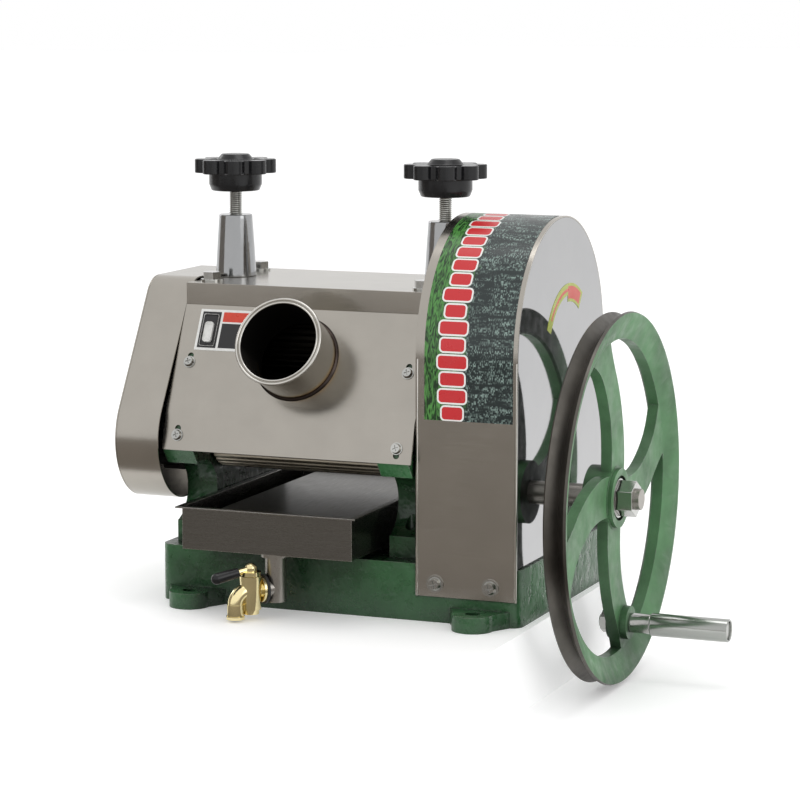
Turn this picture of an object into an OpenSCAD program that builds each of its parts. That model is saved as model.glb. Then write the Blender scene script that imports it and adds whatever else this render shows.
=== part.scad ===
// Hand-cranked three-roller sugar cane juicer for bolting to a bench.
// X runs across the machine towards the handwheel, -Y is the feed side and Z is up.
// The origin is the centre of the base's flat underside.

/* [Base] */
// Width of the base casting along X
base_w = 290; // [280:2:310]
// Depth of the base casting under the gear cover's sheets
base_d = 195.6; // [190:0.2:200]
// Height of the base casting
base_h = 43; // [40:1:50]
// Wall of the hollow base casting
base_wall = 9; // [6:1:12]
// Distance between the bench bolt holes along X
lug_pitch_x = 228; // [210:2:240]
// Distance between the bench bolt holes along Y
lug_pitch_y = 224; // [220:1:234]
// Diameter of the bench bolt holes
lug_hole_d = 11; // [9:0.5:13]
// Radius of a lug's round end
lug_r = 15.5; // [13:0.5:18]
// Thickness of a lug
lug_h = 12; // [9:1:16]
// Height of the cast rails that the tray slides on
rail_h = 5.4; // [3:0.2:8]

/* [Side frames] */
// Middle plane of the left side frame
left_frame_x = -125.5; // [-128:0.5:-124]
// Middle plane of the right side frame
right_frame_x = 49; // [48:0.5:50]
// Thickness of a side frame
frame_t = 25; // [20:1:28]
// Height of the side frames' top faces
frame_top = 226; // [224:1:232]
// Half length of a side frame's foot
foot_half = 82; // [78:1:88]
// Radius of the round notch below each ear
notch_r = 25; // [18:1:28]
// Thickness of the bars that close the bearing slots
cap_t = 12; // [9:1:14]

/* [Rollers] */
// Radius of the crushing rollers
roller_r = 37; // [34:0.5:37.5]
// Height of the top roller's axis
top_axis_z = 195; // [190:1:198]
// Distance of each lower roller's axis from the middle
lower_y = 46; // [44:0.5:50]
// Gap between a roller's end and the side frame
end_gap = 1.5; // [0.5:0.5:4]
// Radius of the roller journals
journal_r = 12.5; // [10:0.5:15]
// Wall of the bronze bushes
bush_wall = 3.5; // [2:0.5:5]
// Running clearance between a shaft and its bush
run_gap = 0.05; // [0.02:0.01:0.08]
// Width of a bearing block
block_w = 52; // [46:1:58]
// Height of a bearing block below the top roller's axis
block_low = 26; // [22:1:30]
// Height of a bearing block above the top roller's axis
block_high = 27; // [22:1:28]
// Sliding clearance around the bearing blocks
slide_gap = 0.1; // [0.05:0.05:0.2]

/* [Gears] */
// Tooth module of the roller gears
roller_mod = 4; // [3.8:0.1:4.1]
// Teeth of a roller gear
roller_teeth = 19; // [18:1:19]
// Tooth module of the drive gear and its pinion
drive_mod = 3; // [2.5:0.1:3]
// Teeth of the drive gear
drive_teeth = 59; // [50:1:60]
// Teeth of the pinion
pinion_teeth = 15; // [13:1:18]
// Pressure angle
press_angle = 25; // [20:1:25]
// Play between meshing teeth
lash = 0.5; // [0.2:0.05:0.6]
// Width of the roller gears
roller_gear_w = 18; // [12:1:22]
// Width of the drive gear and pinion
drive_gear_w = 18; // [12:1:24]
// Across flats of the gear nuts
gear_nut_af = 30; // [26:1:32]

/* [Input shaft and handwheel] */
// Radius of the input shaft
shaft_r = 9; // [8:0.5:11]
// Radius of the shaft's threaded end
thread_r = 8; // [6:0.5:8]
// Outer radius of the bearing bosses
boss_r = 22; // [18:1:26]
// Outer radius of the handwheel
wheel_r = 140; // [125:1:150]
// Front face of the handwheel's rim
wheel_x = 194; // [190:1:200]
// Width of the rim
rim_w = 17.6; // [14:0.2:22]
// Radial depth of the rim
rim_depth = 20.5; // [16:0.5:24]
// Depth of the rim's belt groove
groove_d = 8.5; // [4:0.5:10]
// Width of a spoke at its narrowest
spoke_w = 29; // [22:1:34]
// Thickness of the spokes
spoke_t = 8.5; // [6:0.5:12]
// Number of spokes
spokes = 4; // [3:1:6]
// Turn of a spoke's middle line in degrees per millimetre of radius
spoke_curl = 0.3; // [0:0.05:0.4]
// Radius of the wheel's hub
hub_r = 24; // [20:1:28]
// Across flats of the hub nut
hub_nut_af = 24; // [20:1:26]
// Distance of the handle from the shaft's axis
handle_r = 102; // [85:1:108]
// Radius of the turning handle sleeve
sleeve_r = 8.8; // [7:0.1:12]
// Length of the turning handle sleeve
sleeve_l = 60.8; // [50:0.2:110]
// Radius of the handle's bolt
handle_bolt_r = 5; // [4:0.5:6]

/* [Gear covers] */
// Thickness of the cover sheets
cover_t = 1.2; // [0.8:0.1:2]
// Left edge of the right gear cover
right_cover_x = 64; // [63:0.5:66]
// Width of the right gear cover
right_cover_w = 79; // [76:1:84]
// Radius of the right cover's arch
right_cover_r = 99; // [97:0.5:106]
// Height of the right cover's lower edge
right_cover_z = 19.5; // [15:0.5:30]
// Width of the left gear cover
left_cover_w = 36; // [34:0.5:44]
// Radius of the left cover's top corners
left_top_r = 22; // [18:1:26]
// Radius of the left cover's lower corners
left_low_r = 48; // [44:1:52]

/* [Panels] */
// Thickness of the panels
panel_t = 1.5; // [1:0.1:2]
// Left edge of the panels
panel_x = -138.4; // [-138.5:0.1:-138]
// Half depth of the top plate
top_half = 62; // [60:1:66]
// Depth of the top plate's flanges
flange_d = 15; // [13:1:18]
// Drop of the panels' main slope
slope_drop = 76.4; // [70:0.4:80]
// Reach of the panels' main slope
slope_reach = 38.3; // [32:0.1:42]
// Drop of the panels' lower slope
lip_drop = 28.9; // [22:0.1:32]
// Reach of the panels' lower slope
lip_reach = 7.9; // [5:0.1:10]
// Middle of the feed tube along X
tube_x = -39; // [-45:1:-33]
// Distance of the feed tube's middle below the panel's top edge
tube_down = 39.7; // [36:0.1:44]
// Outer radius of the feed tube
tube_r = 31.75; // [26:0.25:34]
// Wall of the feed tube
tube_wall = 2; // [1:0.5:3]
// Length of the feed tube in front of the panel
tube_l = 38; // [25:1:60]
// Outer radius of the feed tube's lip
lip_r = 34.3; // [33:0.1:38]
// Width of the outlet chute
chute_w = 116; // [90:2:130]
// Height of the outlet chute
chute_h = 44; // [36:1:50]

/* [Pressure screws] */
// Radius of a tower's foot
tower_r0 = 15.9; // [14:0.1:18]
// Radius of a tower's top
tower_r1 = 12.8; // [11:0.1:14]
// Height of a tower
tower_h = 48; // [42:1:55]
// Radius of the spring bore
spring_bore_r = 8.75; // [8:0.25:9.5]
// Radius of the pressure screws
screw_r = 5; // [4:0.5:6]
// Screw length showing between the tower and the knob
screw_gap = 18.5; // [10:0.5:24]
// Radius over a knob's lobes
knob_r = 31.5; // [26:0.5:38]
// Number of lobes
lobes = 8; // [5:1:10]

/* [Juice tray and tap] */
// Left side of the tray
tray_x = -108; // [-108:0.5:-104]
// Width of the tray
tray_w = 136.7; // [130:0.1:137]
// Front wall of the tray
tray_y = -136; // [-146:1:-130]
// Length of the tray
tray_l = 222; // [200:1:230]
// Height of the tray
tray_h = 32.2; // [26:0.2:32.4]
// Width of the tray's flange
tray_flange = 4; // [2:0.5:4]
// Thickness of the tray's sheet
tray_t = 1.2; // [0.8:0.1:2]
// Width of the slot left beside the strainer plate
strainer_slot = 19; // [10:1:40]
// Tap pipe along X
tap_x = -37; // [-60:1:0]
// Tap pipe along Y
tap_y = -125; // [-127:1:-118]
// Height of the tap's passage
tap_z = 22.3; // [20:0.1:26]
// Direction that the tap points in
tap_turn = 230.3; // [200:0.1:250]
// Radius of the tap's pipe
pipe_r = 8; // [6:0.5:9]

/* [Hidden] */
$fn = 64;
// A cut runs this far past the face that it opens
over = 1;
// Play around bolts and screws in their holes
hole_gap = 0.1;

// Rollers and gears
roller_pitch = roller_mod * roller_teeth;
lower_z = top_axis_z - sqrt(roller_pitch * roller_pitch - lower_y * lower_y);
shaft_z = top_axis_z - drive_mod * (drive_teeth + pinion_teeth) / 2;
left_out = left_frame_x - frame_t / 2;
left_in = left_frame_x + frame_t / 2;
right_in = right_frame_x - frame_t / 2;
right_out = right_frame_x + frame_t / 2;
bush_r = journal_r + run_gap + bush_wall;
// The roller gears stand clear of the left frame's outer face
gear_x1 = left_out - 6;
gear_x0 = gear_x1 - roller_gear_w;
// The drive gear stands clear of the input shaft's inner boss
boss_end = right_cover_x + 4;
drive_x0 = boss_end + 2;
drive_x1 = drive_x0 + drive_gear_w;
nut_t = 8;
nut_thread_r = journal_r - 2.5;
front_angle = atan2(lower_z - top_axis_z, -lower_y);
rear_angle = atan2(lower_z - top_axis_z, lower_y);
top_phase = 0;
front_phase = mesh_phase(front_angle, top_phase, roller_teeth, roller_teeth);
rear_phase = mesh_phase(rear_angle, top_phase, roller_teeth, roller_teeth);
drive_phase = -90;
pinion_phase = mesh_phase(-90, drive_phase, drive_teeth, pinion_teeth);

// Panels and covers
panel_x1 = right_cover_x - 0.3;
plate_top = frame_top + cap_t + panel_t;
slope_z = plate_top - panel_t - flange_d;
slope = atan2(slope_reach, slope_drop);
panel_in = panel_t / cos(slope);
right_cover_x1 = right_cover_x + right_cover_w;
left_cover_x1 = left_out - 0.6;
left_cover_x0 = left_cover_x1 - left_cover_w;
left_top_c = [38, plate_top + 2.5 - left_top_r];
left_low_c = [66, lower_z - 12];
screw_inset = 12;
panel_screw_x = [panel_x + screw_inset, panel_x1 - screw_inset];
panel_screw_down = [46.5, 104];
cover_screw_inset = [15.6, 20.3];
cover_screw_z = 29.3;
back_inset = 1.3;
stud_places = [[0, shaft_z + 12], [-56, top_axis_z + 13], [56, top_axis_z + 13]];
stud_r = 5;

// Pressure screws
block_top = top_axis_z + block_high;
tower_z = plate_top;
tower_top = tower_z + tower_h;
spigot_r = 12;
cap_bolt_y = 44;
// Solid length at a tower's top that guides the screw
tower_roof = 10;
pad_z = tower_z + 22.5;
pad_t = 4;
pad_gap = 0.25;
knob_z = tower_top + screw_gap;
wire_r = 1.2;

// Handwheel
hub_x0 = wheel_x - 27;
hub_seat = wheel_x - 7;
spoke_x1 = wheel_x - 7.5;
washer_t = 2.5;
hub_nut_t = 13;
rim_inner = wheel_r - rim_depth;
handle_angle = spoke_angle(handle_r) + 180;
handle_y = handle_r * cos(handle_angle);
handle_z = shaft_z + handle_r * sin(handle_angle);
sleeve_x0 = wheel_x + 14.7;
// Recess in the sleeve's end for the bolt's head
sleeve_recess = 6.3;
pedestal_x = [112, 134];

// Tray and tap
tray_z = base_h + rail_h + 0.2;
tray_top = tray_z + tray_h;
strainer_z = tray_top - 5;
// The pipe's side boss ends here, where the washer seats
tap_face = pipe_r + 1;
barrel_x = 20.4;
barrel_low = -14;
barrel_high = 11;

// Angle of the second gear that puts its teeth in the first gear's gaps
function mesh_phase(line, phase, n1, n2) =
    line + 180 - (phase - line) * n1 / n2 + 180 / n2;
function involute(a) = tan(a) * 180 / PI - a;
function base_radius(n, m) = n * m / 2 * cos(press_angle);
// Half of a tooth's angle at radius r
function half_tooth(n, m, r) =
    90 / n - lash / 4 / (n * m / 2) * 180 / PI + involute(press_angle)
    - involute(acos(min(1, base_radius(n, m) / r)));
function gear_radii(n, m, steps) =
    let (root = n * m / 2 - 1.25 * m, tip = n * m / 2 + m, first = max(root, base_radius(n, m)))
    concat(root < first ? [root] : [], [for (k = [0:steps]) first + (tip - first) * k / steps]);
function gear_points(n, m, phase, steps) = [
    for (i = [0:n - 1])
        let (radii = gear_radii(n, m, steps), last = len(radii) - 1)
        for (k = [0:2 * last + 1])
            let (
                side = k <= last ? -1 : 1,
                r = radii[k <= last ? k : 2 * last + 1 - k],
                a = phase + i * 360 / n + side * half_tooth(n, m, r)
            )
            [r * cos(a), r * sin(a)]
];
// Angle of a spoke's middle line at radius r, and the spoke's width there
function spoke_angle(r) = 90 + spoke_curl * (r - 60);
function spoke_width(r) =
    spoke_w + 13 * pow(max(0, (r - rim_inner + 25) / 25), 2) + 3 * max(0, (60 - r) / 25);
// Unit normal of the tangent line that two circles share on the side given by 1 or -1
function tangent_normal(c1, r1, c2, r2, side) =
    let (d = norm(c2 - c1), u = (c2 - c1) / d, a = acos((r1 - r2) / d) * side)
    [u[0] * cos(a) - u[1] * sin(a), u[0] * sin(a) + u[1] * cos(a)];
// Front points of a panel's outer face, from its top edge down
function panel_line(inward) = [
    [-top_half + inward, slope_z],
    [-top_half - slope_reach + inward, slope_z - slope_drop],
    [-top_half - slope_reach - lip_reach + inward, slope_z - slope_drop - lip_drop]
];
function flip(points) = [for (i = [len(points) - 1:-1:0]) [-points[i][0], points[i][1]]];
function reversed(points) = [for (i = [len(points) - 1:-1:0]) points[i]];

// A solid between two planes across X, drawn in Y and Z
module across(x0, x1) {
    translate([x0, 0, 0])
        rotate([90, 0, 90])
            linear_extrude(x1 - x0) children();
}
module x_rod(x0, x1, y, z, r) {
    translate([x0, y, z])
        rotate([0, 90, 0])
            cylinder(h = x1 - x0, r = r);
}
module x_nut(x0, x1, y, z, flats, bore) {
    translate([x0, y, z])
        rotate([0, 90, 0])
            difference() {
                cylinder(h = x1 - x0, d = flats / cos(30), $fn = 6);
                translate([0, 0, -over]) cylinder(h = x1 - x0 + 2 * over, r = bore);
            }
}
module slab(x, y, z) {
    translate([x[0], y[0], z[0]])
        cube([x[1] - x[0], y[1] - y[0], z[1] - z[0]]);
}
module both_sides() {
    children();
    mirror([0, 1, 0]) children();
}
module each_frame() {
    for (x = [left_frame_x, right_frame_x]) translate([x, 0, 0]) children();
}
// Stands its children on a panel's face, square to it and the given distance down the slope
module on_slope(x, down) {
    translate([x, -top_half - down * sin(slope), slope_z - down * cos(slope)])
        rotate([90 - slope, 0, 0]) children();
}
module screw_spots() {
    for (x = panel_screw_x)
        for (down = panel_screw_down)
            translate([x, -top_half, slope_z])
                lip_or_slope(down) children();
}
module lip_or_slope(down) {
    full = slope_drop / cos(slope);
    lip = atan2(lip_reach, lip_drop);
    if (down <= full)
        translate([0, -down * sin(slope), -down * cos(slope)]) rotate([90 - slope, 0, 0]) children();
    else
        translate([0, -slope_reach - (down - full) * sin(lip), -slope_drop - (down - full) * cos(lip)])
            rotate([90 - lip, 0, 0]) children();
}

// Base
module lug() {
    translate([lug_pitch_x / 2, -lug_pitch_y / 2, 0])
        linear_extrude(lug_h) {
            circle(r = lug_r);
            polygon([
                [-lug_r, 0], [lug_r, 0],
                [lug_r + 9, lug_pitch_y / 2 - base_d / 2 + 2], [-lug_r - 9, lug_pitch_y / 2 - base_d / 2 + 2]
            ]);
        }
}
module all_lugs() {
    for (sx = [0, 1])
        for (sy = [0, 1])
            mirror([sx, 0, 0]) mirror([0, sy, 0]) children();
}
module base_block() {
    corner = 9;
    linear_extrude(base_h) {
        square([base_w - 2 * corner, base_d], center = true);
        square([base_w, base_d - 2 * corner], center = true);
        for (sx = [-1, 1])
            for (sy = [-1, 1])
                translate([sx * (base_w / 2 - corner), sy * (base_d / 2 - corner)]) circle(r = corner);
    }
}
module base_casting() {
    pocket_x = base_w / 2 - 1.5 * base_wall;
    pocket_y = base_d / 2 - 1.5 * base_wall;
    color("seagreen")
    difference() {
        union() {
            base_block();
            all_lugs() lug();
            for (x = [tray_x + 14, tray_x + tray_w - 26])
                slab([x, x + 12], [-base_d / 2 + 6, base_d / 2 - 10], [base_h - over, base_h + rail_h]);
        }
        for (sx = [0, 1])
            for (sy = [0, 1])
                mirror([sx, 0, 0]) mirror([0, sy, 0])
                    slab([base_wall / 2, base_wall / 2 + pocket_x], [base_wall / 2, base_wall / 2 + pocket_y],
                        [-over, base_h - base_wall]);
        all_lugs()
            translate([lug_pitch_x / 2, -lug_pitch_y / 2, -over])
                cylinder(h = lug_h + 2 * over, d = lug_hole_d);
        frame_bolt_spots() cylinder(h = 60, r = 4 + hole_gap, center = true);
        pedestal_bolt_spots() cylinder(h = 60, r = 4 + hole_gap, center = true);
        cover_screw_spots() cylinder(h = 30, r = 3 + hole_gap, center = true);
    }
}

// Side frames
module frame_outline() {
    front = concat(
        [[-foot_half, base_h], [-foot_half, base_h + 17], [-foot_half - 16, base_h + 63]],
        reversed(panel_line(panel_in)),
        [[-top_half + panel_in, frame_top]]
    );
    difference() {
        polygon(concat(front, flip(front)));
        for (s = [-1, 1])
            translate([s * (foot_half + 7), base_h + 40]) circle(r = notch_r);
        translate([-block_w / 2 - slide_gap, top_axis_z - block_low - 0.2])
            square([block_w + 2 * slide_gap, frame_top]);
        for (s = [-1, 1])
            translate([s * lower_y, lower_z]) circle(r = bush_r);
    }
}
module frame_holes() {
    cap_bolt_spots() cylinder(h = 70, r = 4 + hole_gap, center = true);
    frame_bolt_spots() cylinder(h = 70, r = 4 + hole_gap, center = true);
    both_sides() screw_spots() cylinder(h = 30, r = 2 + hole_gap, center = true);
}
module left_side_frame() {
    color("seagreen")
    difference() {
        across(left_out, left_in) frame_outline();
        frame_holes();
        for (p = stud_places)
            x_rod(left_out - over, left_out + 10, p[0], p[1], stud_r - 1.5 + hole_gap);
    }
}
module right_side_frame() {
    color("seagreen")
    difference() {
        union() {
            across(right_in, right_out) frame_outline();
            x_rod(right_in, boss_end, 0, shaft_z, boss_r);
        }
        frame_holes();
        x_rod(right_in - over, boss_end + over, 0, shaft_z, shaft_r + run_gap + bush_wall);
    }
}
module outboard_bearing() {
    color("seagreen")
    difference() {
        union() {
            slab(pedestal_x, [-42, 42], [base_h, base_h + 10]);
            across(pedestal_x[0] + 3, pedestal_x[1] - 3)
                polygon([[-30, base_h], [30, base_h], [boss_r * 0.9, shaft_z], [-boss_r * 0.9, shaft_z]]);
            x_rod(pedestal_x[0], pedestal_x[1] + 3, 0, shaft_z, boss_r);
        }
        x_rod(pedestal_x[0] - over, pedestal_x[1] + 3 + over, 0, shaft_z, shaft_r + run_gap + bush_wall);
        pedestal_bolt_spots() cylinder(h = 60, r = 4 + hole_gap, center = true);
    }
}
module cap_bolt_spots() {
    each_frame()
        for (y = [-cap_bolt_y, cap_bolt_y]) translate([0, y, plate_top]) children();
}
module frame_bolt_spots() {
    each_frame()
        for (y = [-70, 70]) translate([0, y, base_h]) children();
}
module pedestal_bolt_spots() {
    for (y = [-36, 36]) translate([(pedestal_x[0] + pedestal_x[1]) / 2, y, base_h]) children();
}
module cover_screw_spots() {
    for (x = [right_cover_x + cover_screw_inset[0], right_cover_x1 - cover_screw_inset[1]])
        both_sides()
            translate([x, -right_cover_r, cover_screw_z]) rotate([90, 0, 0]) children();
}
// Hex bolt with its washer: the head stands on the plane z = 0 and the shank hangs below it
module hex_bolt(shank_r, shank_l, flats, head_h, washer_r) {
    translate([0, 0, -shank_l]) cylinder(h = shank_l + 1, r = shank_r);
    cylinder(h = 1.6, r = washer_r);
    translate([0, 0, 1.6]) cylinder(h = head_h, d = flats / cos(30), $fn = 6);
}
module cap_bars() {
    color("seagreen")
    difference() {
        each_frame()
            slab([-frame_t / 2, frame_t / 2], [-top_half + 2, top_half - 2], [frame_top, frame_top + cap_t]);
        each_frame()
            translate([0, 0, frame_top - over]) cylinder(h = cap_t + 2 * over, r = spigot_r);
        cap_bolt_spots() cylinder(h = 60, r = 4 + hole_gap, center = true);
    }
}
module cap_bolts() {
    color("silver") cap_bolt_spots() hex_bolt(4, 32, 13, 5.5, 8.5);
}
module frame_bolts() {
    color("silver") {
        frame_bolt_spots()
            translate([0, 0, -base_wall]) mirror([0, 0, 1]) hex_bolt(4, 21, 13, 5.5, 8);
        pedestal_bolt_spots()
            translate([0, 0, 10]) hex_bolt(4, 18, 13, 5.5, 5.9);
    }
}
module bush(x0, x1, y, z, r) {
    difference() {
        x_rod(x0, x1, y, z, r + run_gap + bush_wall);
        x_rod(x0 - over, x1 + over, y, z, r + run_gap);
    }
}
module frame_bushes() {
    color("darkgoldenrod") {
        for (y = [-lower_y, lower_y]) {
            bush(left_out, left_in, y, lower_z, journal_r);
            bush(right_in, right_out, y, lower_z, journal_r);
        }
        bush(right_in, boss_end, 0, shaft_z, shaft_r);
        bush(pedestal_x[0], pedestal_x[1] + 3, 0, shaft_z, shaft_r);
    }
}
// Bar between the lower rollers that carries the crushed cane to the second nip
module turner_bar() {
    bar_top = top_axis_z - roller_r - 3;
    gap_half = lower_y - roller_r;
    color("dimgray")
    across(left_in, right_in)
        difference() {
            polygon([
                [-gap_half - 2, bar_top], [gap_half + 2, bar_top],
                [gap_half - 3.5, bar_top - 16], [gap_half - 3.5, bar_top - 30],
                [-gap_half + 3.5, bar_top - 30], [-gap_half + 3.5, bar_top - 16]
            ]);
            translate([0, top_axis_z]) circle(r = roller_r + 3.5, $fn = 128);
        }
}

// Panels
module top_cover() {
    color("lightgray")
    difference() {
        across(panel_x, panel_x1)
            polygon([
                [-top_half, slope_z], [-top_half, plate_top], [top_half, plate_top], [top_half, slope_z],
                [top_half - panel_t, slope_z], [top_half - panel_t, plate_top - panel_t],
                [-top_half + panel_t, plate_top - panel_t], [-top_half + panel_t, slope_z]
            ]);
        each_frame() cylinder(h = 2 * plate_top, r = spigot_r);
        cap_bolt_spots() cylinder(h = 60, r = 4 + hole_gap, center = true);
    }
}
module panel_sheet() {
    across(panel_x, panel_x1)
        polygon(concat(panel_line(0), reversed(panel_line(panel_in))));
}
module front_panel() {
    color("lightgray")
    difference() {
        panel_sheet();
        on_slope(tube_x, tube_down) cylinder(h = 20, r = tube_r, center = true);
        screw_spots() cylinder(h = 20, r = 2 + hole_gap, center = true);
        panel_slots();
    }
}
// Slots that let the front panel slide off its screws; the lower right one runs downwards
module panel_slots() {
    slot_r = 2.4;
    slot_half = 2.25;
    slot_start = 0.7;
    slot_l = 5.2;
    for (x = panel_screw_x)
        for (down = panel_screw_down) {
            way = x == panel_screw_x[1] && down == panel_screw_down[1] ? -1 : 1;
            translate([x, -top_half, slope_z])
                lip_or_slope(down) {
                    translate([-slot_half, way > 0 ? slot_start : -slot_l, -10])
                        cube([2 * slot_half, slot_l - slot_start, 20]);
                    translate([0, way * slot_l, 0]) cylinder(h = 20, r = slot_r, center = true);
                }
        }
}
module rear_panel() {
    color("lightgray")
    mirror([0, 1, 0])
    difference() {
        panel_sheet();
        on_slope(tube_x, tube_down) cube([chute_w, chute_h, 20], center = true);
        screw_spots() cylinder(h = 20, r = 2 + hole_gap, center = true);
    }
}
module panel_screws() {
    color("silver")
    both_sides()
        screw_spots() {
            translate([0, 0, -12]) cylinder(h = 12.5, r = 2);
            cylinder(h = 0.8, r = 4.6);
            translate([0, 0, 0.8])
                difference() {
                    cylinder(h = 2.4, r1 = 4, r2 = 3.2);
                    for (a = [0, 90])
                        rotate([0, 0, a + 20]) translate([-2.2, -0.4, 1.2]) cube([4.4, 0.8, 2]);
                }
        }
}
module feed_tube() {
    color("silver")
    on_slope(tube_x, tube_down)
        difference() {
            union() {
                translate([0, 0, -4]) cylinder(h = tube_l + 4, r = tube_r);
                translate([0, 0, tube_l - 3])
                    rotate_extrude()
                        polygon([[tube_r - 1, 0], [tube_r, 0], [lip_r, 2], [lip_r, 3], [tube_r - 1, 3]]);
                rotate_extrude()
                    polygon([[tube_r - 1, 0], [tube_r + 2, 0], [tube_r + 0.6, 1.4], [tube_r - 1, 1.8]]);
            }
            translate([0, 0, -4 - over]) cylinder(h = tube_l + 4 + 2 * over, r = tube_r - tube_wall);
        }
}
// Short square duct that the crushed cane leaves by
module outlet_chute() {
    color("lightgray")
    mirror([0, 1, 0])
    on_slope(tube_x, tube_down)
        difference() {
            translate([-chute_w / 2, -chute_h / 2, -6]) cube([chute_w, chute_h, 36]);
            translate([-chute_w / 2 + cover_t, -chute_h / 2 + cover_t, -6 - over])
                cube([chute_w - 2 * cover_t, chute_h - 2 * cover_t, 36 + 2 * over]);
        }
}

// Pressure screws
module screw_towers() {
    color("silver")
    each_frame()
        difference() {
            union() {
                translate([0, 0, frame_top]) cylinder(h = plate_top - frame_top, r = spigot_r);
                translate([0, 0, tower_z]) cylinder(h = tower_h * 0.55, r1 = tower_r0, r2 = tower_r1 + 1.5);
                translate([0, 0, tower_z + tower_h * 0.55])
                    cylinder(h = tower_h * 0.45, r1 = tower_r1 + 1.5, r2 = tower_r1);
            }
            translate([0, 0, frame_top - over])
                cylinder(h = tower_top - tower_roof - frame_top + over, r = spring_bore_r);
            cylinder(h = tower_top + over, r = screw_r + run_gap);
        }
}
module coil_spring(z0, z1, turns) {
    sides = 8;
    steps = 16;
    rings = turns * steps;
    mid_r = spring_bore_r - 0.6 - wire_r;
    points = [
        for (i = [0:rings])
            let (a = i * 360 / steps, z = z0 + wire_r + (z1 - z0 - 2 * wire_r) * i / rings)
            for (j = [0:sides - 1])
                let (r = mid_r + wire_r * cos(j * 360 / sides))
                [r * cos(a), r * sin(a), z + wire_r * sin(j * 360 / sides)]
    ];
    sheath = [
        for (i = [0:rings - 1])
            for (j = [0:sides - 1])
                let (k = (j + 1) % sides)
                [i * sides + j, i * sides + k, (i + 1) * sides + k, (i + 1) * sides + j]
    ];
    polyhedron(
        points = points,
        faces = concat(
            sheath,
            [[for (j = [sides - 1:-1:0]) j]],
            [[for (j = [0:sides - 1]) rings * sides + j]]
        ),
        convexity = 10
    );
}
module pressure_springs() {
    color("gray") each_frame() coil_spring(block_top, pad_z, 7);
}
module pressure_pad(x) {
    color("dimgray")
    translate([x, 0, pad_z]) cylinder(h = pad_t, r = spring_bore_r - pad_gap);
}
module pressure_screw(x) {
    color("silver")
    translate([x, 0, pad_z + pad_t + run_gap])
        cylinder(h = knob_z + 12 - pad_z - pad_t - run_gap, r = screw_r);
}
module star_knob(x) {
    color([0.1, 0.1, 0.1])
    translate([x, 0, knob_z])
        difference() {
            union() {
                cylinder(h = 5, r1 = 18.5, r2 = 20.5);
                translate([0, 0, 5]) cylinder(h = 9, r = 20.5);
                translate([0, 0, 13.5])
                    linear_extrude(10.8) {
                        circle(r = knob_r * 0.78);
                        for (i = [0:lobes - 1])
                            rotate([0, 0, (i + 0.5) * 360 / lobes])
                                translate([knob_r - 7.5, 0]) circle(r = 7.5);
                    }
                translate([0, 0, 24.3]) cylinder(h = 4, r1 = 14, r2 = 10.5);
            }
            translate([0, 0, -over]) cylinder(h = 12 + over, r = screw_r);
        }
}

// Gear covers
module left_cover_outline(inset) {
    r1 = left_top_r - inset;
    r2 = left_low_r - inset;
    for (s = [-1, 1]) {
        translate([s * left_top_c[0], left_top_c[1]]) circle(r = r1);
        translate([s * left_low_c[0], left_low_c[1]]) circle(r = r2);
    }
    n = tangent_normal(left_top_c, r1, left_low_c, r2, 1);
    right_side = [
        [0, left_low_c[1] - r2], [left_low_c[0], left_low_c[1] - r2],
        left_low_c + r2 * n, left_top_c + r1 * n,
        [left_top_c[0], left_top_c[1] + r1], [0, left_top_c[1] + r1]
    ];
    polygon(concat(right_side, flip(right_side)));
}
// The band's inner edge is scalloped round the left tower's foot
module left_cover_band() {
    color("lightgray")
    difference() {
        across(left_cover_x0 + cover_t, left_cover_x1)
            difference() {
                left_cover_outline(0);
                left_cover_outline(cover_t);
            }
        translate([left_frame_x, 0, plate_top]) cylinder(h = 20, r = tower_r0 + 0.5);
    }
}
module left_cover_plate() {
    color("lightgray")
    difference() {
        across(left_cover_x0, left_cover_x0 + cover_t) left_cover_outline(0);
        for (p = stud_places)
            x_rod(left_cover_x0 - over, left_cover_x0 + cover_t + over, p[0], p[1], 3 + hole_gap);
    }
}
module left_cover_studs() {
    color("silver")
    for (p = stud_places) {
        x_rod(left_out, left_out + 9, p[0], p[1], stud_r - 1.5);
        x_rod(left_cover_x0 + cover_t, left_out, p[0], p[1], stud_r);
        x_rod(left_cover_x0, left_cover_x0 + cover_t, p[0], p[1], 3);
        x_rod(left_cover_x0 - 3, left_cover_x0, p[0], p[1], stud_r);
    }
}
module arch_outline(r, low) {
    translate([0, top_axis_z]) circle(r = r, $fn = 128);
    translate([-r, low]) square([2 * r, top_axis_z - low]);
}
module right_cover_wrapper() {
    color("lightgray")
    difference() {
        across(right_cover_x, right_cover_x1)
            difference() {
                arch_outline(right_cover_r, right_cover_z);
                arch_outline(right_cover_r - cover_t, right_cover_z - over);
            }
        cover_screw_spots() cylinder(h = 20, r = 3 + hole_gap, center = true);
    }
}
module right_cover_side_plate() {
    color("gainsboro")
    difference() {
        across(right_cover_x1 - cover_t, right_cover_x1) arch_outline(right_cover_r - cover_t, base_h);
        x_rod(right_cover_x1 - 5, right_cover_x1 + 5, 0, shaft_z, shaft_r + 3);
    }
}
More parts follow.
